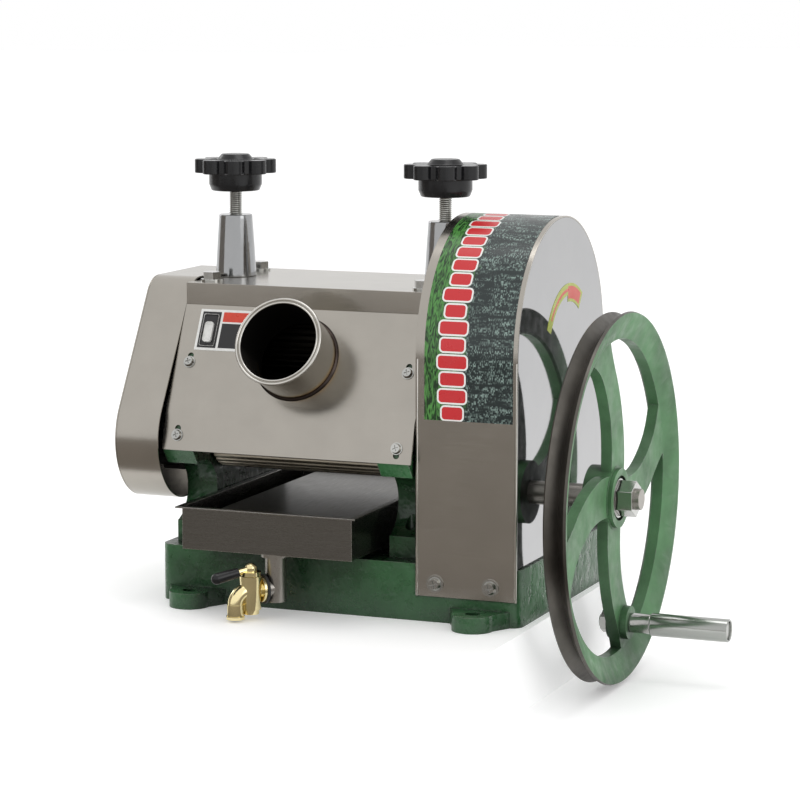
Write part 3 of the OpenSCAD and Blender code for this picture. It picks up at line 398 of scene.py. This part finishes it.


# Feed tube
# Drawn stainless tube with a rolled double lip, welded square to the sloping panel with a narrow
# bead that has tinted the metal straw and brown.
panel_setback = 0.0383
panel_drop = 0.0764
slope_angle = math.atan2(panel_setback, panel_drop)
panel_normal = Vector((0, -math.cos(slope_angle), math.sin(slope_angle)))
panel_down = Vector((0, -math.sin(slope_angle), -math.cos(slope_angle)))
panel_edge = Vector((0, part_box("top_cover")[0][1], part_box("front_panel")[1][2]))
tint_width = 0.009
tube_wall = 0.00455
tube_grey = (0.33, 0.31, 0.275)
tube_low, tube_high = (Vector(corner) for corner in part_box("feed_tube"))
tube_middle = (tube_low + tube_high) / 2
bore_radius = (tube_high[0] - tube_low[0]) / 2 - tube_wall
tube_steel = metal("drawn_tube", tube_grey, 0.2, (8, 1, 1), 90, 0.000002, 0.12)


def vector_from(material, origin):
    """The way from origin to the point that is shaded."""
    place = node(material, "ShaderNodeTexCoord")
    offset = node(material, "ShaderNodeVectorMath", operation="SUBTRACT")
    wire(material, place.outputs["Object"], offset.inputs[0])
    offset.inputs[1].default_value = origin
    return offset.outputs["Vector"]


def distance_along(material, origin, direction):
    """How far a point lies from origin along direction."""
    dot = node(material, "ShaderNodeVectorMath", operation="DOT_PRODUCT")
    wire(material, vector_from(material, origin), dot.inputs[0])
    dot.inputs[1].default_value = direction
    return dot.outputs["Value"]


def distance_from_axis(material, origin, direction):
    """How far a point lies from the line through origin along direction."""
    crossed = node(material, "ShaderNodeVectorMath", operation="CROSS_PRODUCT")
    wire(material, vector_from(material, origin), crossed.inputs[0])
    crossed.inputs[1].default_value = direction
    length = node(material, "ShaderNodeVectorMath", operation="LENGTH")
    wire(material, crossed.outputs["Vector"], length.inputs[0])
    return length.outputs["Value"]


def add_heat_tint(material, origin, direction):
    """A dark bead with a brown and straw tint that fades out past it."""
    ramp = node(material, "ShaderNodeValToRGB")
    stops = ((0.0, (0.02, 0.018, 0.016)), (0.2, (0.06, 0.045, 0.04)), (0.32, (0.30, 0.17, 0.07)),
             (0.5, (0.38, 0.29, 0.17)), (1.0, tube_grey))
    for number, (place, color) in enumerate(stops):
        stop = ramp.color_ramp.elements[number] if number < 2 else ramp.color_ramp.elements.new(place)
        stop.position = place
        stop.color = (*color, 1)
    away = distance_along(material, origin, direction)
    wire(material, spread(material, away, 0.0, tint_width, 0, 1), ramp.inputs["Fac"])
    base = shader_of(material).inputs["Base Color"]
    clear = spread(material, away, 0.006, 0.01, 0, 1)
    wire(material, mix_colors(material, clear, ramp.outputs["Color"], base.links[0].from_socket), base)


def add_painted_bore_shade(material, origin, direction, radius, color, dull):
    """Painted shade: dull, near-black metal inside a bore around the given axis, where no light gets in."""
    away = distance_from_axis(material, origin, direction)
    inside = spread(material, away, radius - 0.0002, radius + 0.0004, 1, 0)
    base = shader_of(material).inputs["Base Color"]
    wire(material, mix_colors(material, inside, base.links[0].from_socket, color), base)
    rough = shader_of(material).inputs["Roughness"]
    mixed = node(material, "ShaderNodeMix", data_type="FLOAT")
    wire(material, inside, mixed.inputs[0])
    wire(material, rough.links[0].from_socket, mixed.inputs[2])
    mixed.inputs[3].default_value = dull
    wire(material, mixed.outputs[0], rough)


add_heat_tint(tube_steel, panel_edge, panel_normal)
# Painted shade: the feed tube's bore is painted near-black as the shadow inside it.
add_painted_bore_shade(tube_steel, tube_middle, panel_normal, bore_radius + 0.0003, (0.025, 0.024, 0.022), 0.55)
eased("feed_tube", "machine", 0.0008, tube_steel, steps=3)

# The lip's two rolls are rings round the mouth, on the tube's front face.
ring_sides = 12
ring_steps = 96
tube_corners = [Vector(corner.co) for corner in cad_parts["feed_tube"].data.vertices]
mouth_reach = max(corner.dot(panel_normal) for corner in tube_corners)
mouth_corners = [corner for corner in tube_corners if corner.dot(panel_normal) > mouth_reach - 0.0001]
mouth_low = Vector([min(corner[i] for corner in mouth_corners) for i in range(3)])
mouth_high = Vector([max(corner[i] for corner in mouth_corners) for i in range(3)])
for ring_name, ring_radius, wire_radius in (("tube_lip_outer", bore_radius + 0.0035, 0.0010),
                                            ("tube_lip_inner", bore_radius + 0.0009, 0.0008)):
    bpy.ops.object.select_all(action="DESELECT")
    bpy.ops.mesh.primitive_circle_add(vertices=ring_sides, radius=wire_radius, location=(ring_radius, 0, 0),
                                      rotation=(math.pi / 2, 0, 0))
    ring = bpy.context.object
    ring.name = ring_name
    bpy.ops.object.transform_apply(location=True, rotation=True, scale=True)
    bpy.ops.object.mode_set(mode="EDIT")
    bpy.ops.mesh.select_all(action="SELECT")
    bpy.ops.mesh.spin(steps=ring_steps, angle=2 * math.pi, center=(0, 0, 0), axis=(0, 0, 1))
    bpy.ops.mesh.select_all(action="SELECT")
    bpy.ops.mesh.remove_doubles(threshold=0.000002)
    bpy.ops.mesh.normals_make_consistent(inside=False)
    bpy.ops.object.mode_set(mode="OBJECT")
    ring.rotation_euler = (math.pi / 2 - slope_angle, 0, 0)
    ring.location = (mouth_low + mouth_high) / 2
    bpy.ops.object.transform_apply(location=True, rotation=True, scale=True)
    bpy.ops.object.shade_smooth()
    wear(ring, polished_edge)
    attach(ring, "machine")


# Screw towers
# Tapered steel towers, turned and satin chromed, that stand on the cap bars; each guides a
# pressure screw and holds its spring.
satin_chrome = metal("satin_chrome", (0.36, 0.365, 0.37), 0.12, (1, 1, 20), 160, 0.000004, 0.08)
eased("screw_towers", "machine", 0.0008, satin_chrome, steps=3)


# Bearing blocks and gears
# Cast iron blocks that slide in the side frames, and cast gears with cut teeth on the ends of the
# rollers and the input shaft. All are bare and oiled.
oiled_iron = metal("oiled_iron", (0.16, 0.16, 0.165), 0.38, grain=200, spot=0.3)
for iron_part, body in (("bearing_blocks", "carriage"), ("drive_gear", "top_roller"),
                        ("top_roller_gear", "top_roller"), ("front_roller_gear", "front_roller"),
                        ("rear_roller_gear", "rear_roller"), ("pinion", "handwheel")):
    eased(iron_part, body, 0.0003, oiled_iron, steps=1)


# Bushes
# Cast bronze sleeves with a dull, oily skin, pressed into the side frames and the sliding blocks
# for the rollers' journals to run in.
cast_bronze = metal("cast_bronze", (0.45, 0.27, 0.11), 0.3, grain=200, ripple=0.00003, spot=0.2)
eased("frame_bushes", "machine", 0.0003, cast_bronze, steps=1)
eased("block_bushes", "carriage", 0.0003, cast_bronze, steps=1)


# Crushing rollers
# Steel rollers with flutes cut along them. Their colour stays bright up to a little above the
# front roller's underside and turns near-black higher up.
dark_from = 0.022
dark_full = 0.04
crushing_steel = metal("crushing_roller", (0.80, 0.74, 0.62), 0.42, (1, 30, 30), 60, 0.000003, 0.2)
roller_place = node(crushing_steel, "ShaderNodeSeparateXYZ")
wire(crushing_steel, node(crushing_steel, "ShaderNodeTexCoord").outputs["Object"], roller_place.inputs[0])
roller_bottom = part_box("front_roller")[0][2]
# Above a set height the rollers turn near-black; below it they keep the bright colour.
darker_above = spread(crushing_steel, roller_place.outputs["Z"], roller_bottom + dark_from,
                 roller_bottom + dark_full, 0, 1)
lower_color = shader_of(crushing_steel).inputs["Base Color"].links[0].from_socket
wire(crushing_steel, mix_colors(crushing_steel, darker_above, lower_color, (0.022, 0.02, 0.017)),
     shader_of(crushing_steel).inputs["Base Color"])
for roller in ("top_roller", "front_roller", "rear_roller"):
    eased(roller, roller, 0.0002, crushing_steel, steps=1)


# Shaft, turner bar and pads
# Turned steel with fine rings from the lathe: the input shaft, the bar between the lower rollers,
# the pads under the pressure screws and the pipe below the tray.
turned_steel = metal("turned_steel", (0.36, 0.34, 0.31), 0.3, (1, 30, 30), 60, 0.000006, 0.2)
for turned_part, body in (("turner_bar", "machine"), ("input_shaft", "handwheel"),
                          ("left_pressure_pad", "left_pad"), ("right_pressure_pad", "right_pad"),
                          ("tap_pipe", "tray")):
    eased(turned_part, body, 0.0003, turned_steel, steps=1)


# Pressure springs
# Coils of dark hardened wire inside the towers, between each screw and its pad. The round wire
# has no arrises to ease, so the node keeps its own mesh.
spring_wire = metal("spring_wire", (0.2, 0.2, 0.21), 0.35)
wear(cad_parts["pressure_springs"], spring_wire)


# Handwheel
# Cast iron wheel with curved spokes and a grooved rim, painted a lighter green than the body and
# clamped on the shaft by the hub nut; the belt groove is left bare and dull.
# This enamel also paints shade into the wheel's recesses.
wheel_enamel = enamel("wheel_enamel", (0.078, 0.182, 0.082), worn=(0.16, 0.22, 0.16), dimple=0.00012,
                      roughness=0.38)
shader_of(wheel_enamel).inputs["Specular IOR Level"].default_value = 0.3
bare_groove = metal("bare_groove", (0.12, 0.112, 0.10), 0.4, grain=160, ripple=0.00001, spot=0.3)
wheel = eased("handwheel", "handwheel", 0.0012, wheel_enamel, steps=3)
wheel.data.materials.append(bare_groove)
wheel_low, wheel_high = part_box("handwheel")
axle_y = (wheel_low[1] + wheel_high[1]) / 2
axle_z = (wheel_low[2] + wheel_high[2]) / 2
rim_radius = (wheel_high[2] - wheel_low[2]) / 2
groove_depth = 0.0095
for face in wheel.data.polygons:
    outward = Vector((0, face.center[1] - axle_y, face.center[2] - axle_z))
    on_rim = outward.length > rim_radius - groove_depth and abs(face.normal[0]) < 0.93
    if on_rim and face.normal.dot(outward) > 0:
        face.material_index = 1


# Handle
# The turning sleeve is a steel tube with bright chrome plating. It runs loose on the handle bolt,
# which a nut holds to the wheel.
bright_chrome = metal("bright_chrome", (0.40, 0.41, 0.39), 0.14, (1, 20, 20), 120, 0.000002, 0.06)
eased("handle_sleeve", "handle", 0.0008, bright_chrome, steps=3)


# Pressure knobs and screws
# Star knobs moulded in black phenolic on zinc plated M10 screws. Turning a screw down presses
# its spring on the bearing block below.
phenolic = new_material("black_phenolic", (0.008, 0.008, 0.009), 0.0, 0.32, 0.35)
vary_roughness(phenolic, 120, 0.18, 0.3)
add_bump(phenolic, noise(phenolic, 420, detail=2), 0.00003)
thread_pitch = 0.0015
thread_depth = 0.0008
flank = 0.0006
crest = 0.0003
thread_sides = 28
for side in ("left", "right"):
    eased(side + "_knob", side + "_screw", 0.0022, phenolic, steps=4)
    screw_low, screw_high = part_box(side + "_pressure_screw")
    screw_radius = (screw_high[0] - screw_low[0]) / 2
    screw_place = ((screw_low[0] + screw_high[0]) / 2, (screw_low[1] + screw_high[1]) / 2, screw_low[2])
    bpy.ops.object.select_all(action="DESELECT")
    bpy.ops.mesh.primitive_plane_add(size=thread_pitch)
    thread = bpy.context.object
    thread.name = side + "_screw_thread"
    bpy.ops.object.mode_set(mode="EDIT")
    bpy.ops.mesh.select_all(action="SELECT")
    bpy.ops.mesh.merge(type="CENTER")
    bpy.ops.transform.translate(value=(screw_radius - thread_depth, 0, 0))
    for step in ((thread_depth, 0, flank), (0, 0, crest), (-thread_depth, 0, thread_pitch - flank - crest)):
        bpy.ops.mesh.extrude_region_move(TRANSFORM_OT_translate={"value": step})
    bpy.ops.object.mode_set(mode="OBJECT")
    winding = thread.modifiers.new("winding", "SCREW")
    winding.screw_offset = thread_pitch
    winding.iterations = int((screw_high[2] - screw_low[2]) / thread_pitch) - 1
    winding.steps = thread_sides
    winding.render_steps = thread_sides
    winding.use_merge_vertices = True
    finish_modifier(thread, winding)
    pick(thread)
    bpy.ops.object.mode_set(mode="EDIT")
    bpy.ops.mesh.select_all(action="SELECT")
    bpy.ops.mesh.remove_doubles(threshold=0.000002)
    bpy.ops.mesh.select_all(action="DESELECT")
    bpy.ops.mesh.select_non_manifold()
    bpy.ops.mesh.edge_face_add()
    bpy.ops.mesh.select_all(action="SELECT")
    bpy.ops.mesh.normals_make_consistent(inside=False)
    bpy.ops.object.mode_set(mode="OBJECT")
    thread.location = screw_place
    bpy.ops.object.transform_apply(location=True, rotation=True, scale=True)
    bpy.ops.object.shade_smooth_by_angle(angle=math.radians(35))
    wear(thread, zinc)
    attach(thread, side + "_screw")
    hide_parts(side + "_pressure_screw")


# Juice tray
# Folded from dull stainless sheet whose edges carry a painted highlight, with a dark plate that
# drops in over the floor. It slides out between the side frames.
tray_grey = (0.17, 0.162, 0.148)
tray_steel = metal("dull_tray_sheet", tray_grey, 0.27, across_machine, 60, 0.0000006, 0.16, 0.0003)
# Painted highlight: the sheet's arrises are painted bright, as light catching its folded edges.
tray_edge_highlight = edge_mask(tray_steel, 0.0008, 0.88, 0.985)
wire(tray_steel, mix_colors(tray_steel, tray_edge_highlight, tray_grey, (0.62, 0.60, 0.56)),
     shader_of(tray_steel).inputs["Base Color"])
# The strainer plate is a darker sheet than the tray round it.
dark_plate_steel = metal("dark_plate_sheet", (0.085, 0.078, 0.068), 0.33, (40, 1, 40), 60, 0.0000006, 0.3)
eased("juice_tray", "tray", sheet_arris, tray_steel)
eased("strainer_plate", "tray", sheet_arris, dark_plate_steel)


# Tap
# A small cast brass tap, polished, screwed into the tray's pipe against a rubber washer. Its
# plug turns with a lever that has a moulded grip.
rubber = new_material("black_rubber", (0.02, 0.02, 0.02), 0.0, 0.7)
add_bump(rubber, noise(rubber, 500), 0.00008)
eased("tap_washer", "tray", 0.0004, rubber)
brass = metal("polished_brass", (0.95, 0.82, 0.46), 0.16, grain=260, ripple=0.00001, spot=0.16)
eased("tap_body", "tray", 0.0005, brass)
eased("tap_plug", "tap_lever", 0.0005, brass)
eased("tap_grip", "tap_lever", 0.0006, phenolic, steps=3)


# Plain sticker
# A white vinyl label on the panel beside the feed tube, printed with plain black and red blocks
# and without lettering. Each layer of ink is a thin raised shape.
def printed(name, color):
    """Ink on film, a little uneven in colour and gloss."""
    material = new_material(name, color, 0.0, 0.32)
    blotches = spread(material, noise(material, 260), 0.3, 0.7, 0, 1)
    wire(material, mix_colors(material, blotches, color, scaled(color, 0.86)),
         shader_of(material).inputs["Base Color"])
    vary_roughness(material, 60, 0.25, 0.42)
    add_bump(material, noise(material, 80), 0.00002)
    return material


film_white = (0.72, 0.72, 0.70)
white_film = printed("white_film", film_white)
black_ink = printed("black_ink", (0.012, 0.012, 0.013))
red_ink = printed("red_ink", (0.58, 0.045, 0.02))
film_arris = 0.00008
eased("hand_label", "machine", film_arris, white_film, steps=1)
label_low, label_high = (Vector(corner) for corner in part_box("hand_label"))
label_thickness = 0.00016
label_face = (label_low + label_high) / 2 + panel_normal * label_thickness
ink_layer = 0.00003


def print_patch(name, right, down, width, height, ink, layer, corner=0.0):
    """A thin printed shape, placed from the label's middle along the sheet."""
    bpy.ops.object.select_all(action="DESELECT")
    bpy.ops.mesh.primitive_cube_add(size=1)
    patch = bpy.context.object
    patch.name = name
    patch.scale = (width, height, 2 * ink_layer)
    bpy.ops.object.transform_apply(location=True, rotation=True, scale=True)
    if corner:
        bpy.ops.object.mode_set(mode="EDIT")
        bpy.ops.mesh.select_all(action="DESELECT")
        bpy.ops.object.mode_set(mode="OBJECT")
        for edge in patch.data.edges:
            first, second = (patch.data.vertices[i].co for i in edge.vertices)
            edge.select = abs(first[2] - second[2]) > ink_layer
        bpy.ops.object.mode_set(mode="EDIT")
        bpy.ops.mesh.bevel(offset=corner, segments=5, affect="EDGES")
        bpy.ops.object.mode_set(mode="OBJECT")
    patch.rotation_euler = (math.pi / 2 - slope_angle, 0, 0)
    patch.location = (label_face + Vector((right, 0, 0)) + panel_down * down
                      + panel_normal * (layer * ink_layer))
    bpy.ops.object.transform_apply(location=True, rotation=True, scale=True)
    wear(patch, ink)
    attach(patch, "machine")


field_x = -0.0142
block_x = 0.0092
print_patch("sticker_field", field_x, 0, 0.0155, 0.029, black_ink, 1)
print_patch("sticker_frame", field_x, 0.0003, 0.0122, 0.0255, white_film, 2, corner=0.001)
print_patch("sticker_inner", field_x, 0.0003, 0.0112, 0.0245, black_ink, 3, corner=0.0008)
print_patch("sticker_tablet", field_x, 0.0022, 0.0070, 0.0160, white_film, 4, corner=0.0022)
print_patch("sticker_bar", block_x, -0.0106, 0.0275, 0.0078, red_ink, 1)
print_patch("sticker_block", block_x, 0.0045, 0.0275, 0.0197, black_ink, 1)


# Arch band
# A printed film stuck over the right cover's arch: cane leaves on the left, a fine dark mesh on
# the right and a row of uneven red bars with white rims, without lettering.
def math_node(material, operation, first, second=None):
    made = node(material, "ShaderNodeMath", operation=operation)
    for number, value in enumerate((first, second)):
        if isinstance(value, (int, float)):
            made.inputs[number].default_value = value
        elif value is not None:
            wire(material, value, made.inputs[number])
    return made.outputs[0]


def place_xyz(material):
    place = node(material, "ShaderNodeTexCoord")
    parts = node(material, "ShaderNodeSeparateXYZ")
    wire(material, place.outputs["Object"], parts.inputs[0])
    return parts.outputs


def hypotenuse(material, first, second):
    squares = (math_node(material, "MULTIPLY", first, first), math_node(material, "MULTIPLY", second, second))
    return math_node(material, "SQRT", math_node(material, "ADD", *squares))


band_film = new_material("band_film", (0.03, 0.09, 0.03), 0.0, 0.3)


def band(operation, first, second=None):
    return math_node(band_film, operation, first, second)


# run goes up the front and over the arch as the film does, and inward from its left edge.
band_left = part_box("cover_decal")[0][0]
band_width = wrapper_high[0] - band_left
x, y, z = place_xyz(band_film)
turned_over = band("ARCTAN2", band("SUBTRACT", z, arch_height), band("MULTIPLY", y, -1.0))
over_arch = band("MULTIPLY", band("MAXIMUM", turned_over, 0.0), arch_radius)
run = band("ADD", band("MINIMUM", z, arch_height), over_arch)
inward = band("SUBTRACT", x, band_left)


def flat_place(inward_scale, run_scale):
    """The film's own flat coordinates, each with its scale."""
    joined = node(band_film, "ShaderNodeCombineXYZ")
    wire(band_film, band("MULTIPLY", inward, inward_scale), joined.inputs[0])
    wire(band_film, band("MULTIPLY", run, run_scale), joined.inputs[1])
    return joined.outputs[0]


def film_noise(inward_scale, run_scale, detail=2.0, distortion=0.0):
    texture = node(band_film, "ShaderNodeTexNoise")
    texture.inputs["Scale"].default_value = 1.0
    texture.inputs["Detail"].default_value = detail
    texture.inputs["Distortion"].default_value = distortion
    wire(band_film, flat_place(inward_scale, run_scale), texture.inputs["Vector"])
    return texture.outputs["Fac"]


leaf_shapes = spread(band_film, film_noise(420, 90, detail=5.0, distortion=1.6), 0.42, 0.6, 0, 1)
leaves = mix_colors(band_film, leaf_shapes, (0.008, 0.03, 0.008), (0.07, 0.23, 0.05))
cell = node(band_film, "ShaderNodeVectorMath", operation="FLOOR")
wire(band_film, flat_place(1300, 800), cell.inputs[0])
cell_value = node(band_film, "ShaderNodeTexWhiteNoise", noise_dimensions="2D")
wire(band_film, cell.outputs[0], cell_value.inputs["Vector"])
lit_cells = spread(band_film, cell_value.outputs["Value"], 0.45, 0.9, 0, 1)
lit_rows = spread(band_film, film_noise(60, 260), 0.4, 0.62, 0, 1)
dark_mesh = mix_colors(band_film, band("MULTIPLY", lit_cells, lit_rows), (0.012, 0.020, 0.020),
                       (0.22, 0.30, 0.27))
share_across = band("DIVIDE", inward, band_width)
ragged_split = band("ADD", share_across, band("MULTIPLY", film_noise(120, 70), 0.35))
ground = mix_colors(band_film, spread(band_film, ragged_split, 0.55, 0.62, 0, 1), leaves, dark_mesh)

bar_step = 0.0125
bar_half_height = 0.0022
bar_corner = 0.0024
rim_corner = 0.0037
bar_count = band("DIVIDE", run, bar_step)
bar_middle = band("MULTIPLY", band("SUBTRACT", band("FRACT", bar_count), 0.5), bar_step)
bar_number = node(band_film, "ShaderNodeTexWhiteNoise", noise_dimensions="1D")
wire(band_film, band("FLOOR", bar_count), bar_number.inputs["W"])
bar_half_width = spread(band_film, bar_number.outputs["Value"], 0, 1, 0.0052, 0.0088)
beside_row = band("ABSOLUTE", band("SUBTRACT", inward, band_width * 0.3))
beyond_side = band("MAXIMUM", band("SUBTRACT", beside_row, bar_half_width), 0.0)
beyond_end = band("MAXIMUM", band("SUBTRACT", band("ABSOLUTE", bar_middle), bar_half_height), 0.0)
beyond_bar = hypotenuse(band_film, beyond_side, beyond_end)
rimmed = mix_colors(band_film, band("LESS_THAN", beyond_bar, rim_corner), ground, film_white)
barred = mix_colors(band_film, band("LESS_THAN", beyond_bar, bar_corner), rimmed, (0.50, 0.02, 0.025))
wire(band_film, barred, shader_of(band_film).inputs["Base Color"])
vary_roughness(band_film, 50, 0.18, 0.32)
add_bump(band_film, noise(band_film, 70), 0.00003)
wear(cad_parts["cover_decal"], band_film)


# Turning arrow
# A bent yellow-green film on the mirror plate with a thin red shaft and a broad red head, which
# shows the way that the wheel turns.
arrow_film = printed("arrow_film", (0.42, 0.48, 0.05))


def arrow(operation, first, second=None):
    return math_node(arrow_film, operation, first, second)


def within(value, middle, half):
    """1 where value lies less than half from middle."""
    return arrow("LESS_THAN", arrow("ABSOLUTE", arrow("SUBTRACT", value, middle)), half)


bend_y = 0.014
bend_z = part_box("arrow_decal")[1][2] - 0.0545
arrow_place = place_xyz(arrow_film)
bend_along = arrow("SUBTRACT", arrow_place["Y"], bend_y)
bend_up = arrow("SUBTRACT", arrow_place["Z"], bend_z)
bend_radius = hypotenuse(arrow_film, bend_along, bend_up)
bend_turn = arrow("ARCTAN2", bend_along, bend_up)
red_shaft = arrow("MULTIPLY", within(bend_radius, 0.0495, 0.0012), within(bend_turn, -0.45, 0.47))
red_head = arrow("MULTIPLY", within(bend_radius, 0.0475, 0.0048), within(bend_turn, 0.26, 0.3))
yellow = shader_of(arrow_film).inputs["Base Color"].links[0].from_socket
wire(arrow_film, mix_colors(arrow_film, arrow("MAXIMUM", red_shaft, red_head), yellow, (0.62, 0.06, 0.035)),
     shader_of(arrow_film).inputs["Base Color"])
eased("arrow_decal", "machine", 0, arrow_film)
